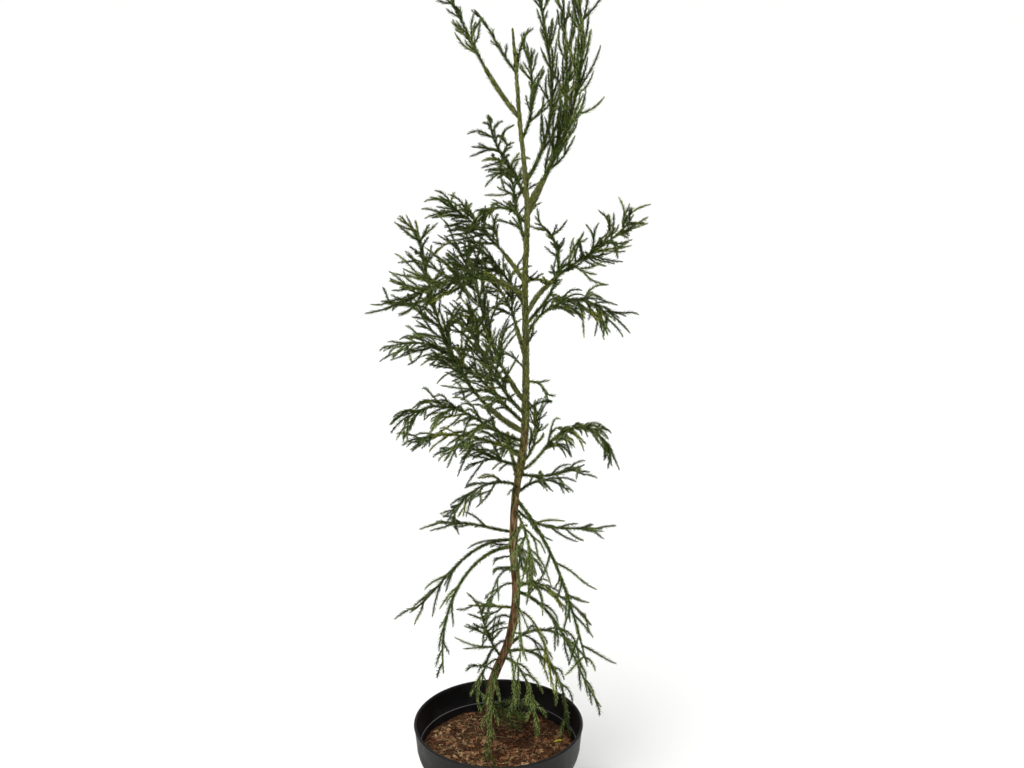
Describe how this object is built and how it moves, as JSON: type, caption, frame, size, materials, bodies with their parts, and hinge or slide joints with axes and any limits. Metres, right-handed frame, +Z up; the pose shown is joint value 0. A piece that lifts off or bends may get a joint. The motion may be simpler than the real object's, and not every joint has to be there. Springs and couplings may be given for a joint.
{
  "type": "potted japanese cedar",
  "caption": "Young potted Japanese cedar: a slender leaning trunk, arching and weeping boughs with cord-like needle shoots, and a black nursery pot of bark soil.",
  "frame": {"origin": "centre of the flat underside of the pot", "axes": "+Z up, +X to the right in the picture, +Y away from the camera"},
  "size_m": [0.2695, 0.2469, 0.9846],
  "materials": {
    "pot": "moulded satin",
    "soil": "coarse bark and peat",
    "trunk": "fibrous flaking bark, green towards the tip",
    "bough": "green-brown bark",
    "foliage": "short curved needles"
  },
  "bodies": {
    "root": {"bough_back_low": "bough", "bough_back_middle": "bough", "bough_broom_middle": "bough", "bough_broom_outer": "bough", "bough_inner_left": "bough", "bough_left_arch": "bough", "bough_right_upper": "bough", "bough_tall_left": "bough", "bough_top_left": "bough", "bough_upper_left": "bough", "mass_arch_left": "foliage", "mass_back_high": "foliage", "mass_back_low": "foliage", "mass_back_lower": "foliage", "mass_back_middle": "foliage", "mass_back_upper": "foliage", "mass_broom_inner": "foliage", "mass_broom_middle": "foliage", "mass_broom_outer": "foliage", "mass_crest_left": "foliage", "mass_droop_lower": "foliage", "mass_droop_middle": "foliage", "mass_droop_upper": "foliage", "mass_front_fall": "foliage", "mass_inner_front": "foliage", "mass_inner_left": "foliage", "mass_leader_left": "foliage", "mass_leader_right": "foliage", "mass_left_arch": "foliage", "mass_left_fall": "foliage", "mass_left_hang": "foliage", "mass_left_low": "foliage", "mass_left_reach": "foliage", "mass_left_weeper": "foliage", "mass_low_arc": "foliage", "mass_low_left": "foliage", "mass_low_weeper": "foliage", "mass_pot_back": "foliage", "mass_pot_fall": "foliage", "mass_pot_front": "foliage", "mass_pot_left": "foliage", "mass_pot_right": "foliage", "mass_right_arch": "foliage", "mass_right_fan": "foliage", "mass_right_hook": "foliage", "mass_right_inner": "foliage", "mass_right_level": "foliage", "mass_right_slope": "foliage", "mass_right_small": "foliage", "mass_right_spray": "foliage", "mass_right_upper": "foliage", "mass_right_upright": "foliage", "mass_right_weeper": "foliage", "mass_tall_left": "foliage", "mass_top_left": "foliage", "mass_top_middle": "foliage", "mass_upper_left": "foliage", "pot": "pot", "soil": "soil", "trunk": "trunk"}
  },
  "joints": []
}
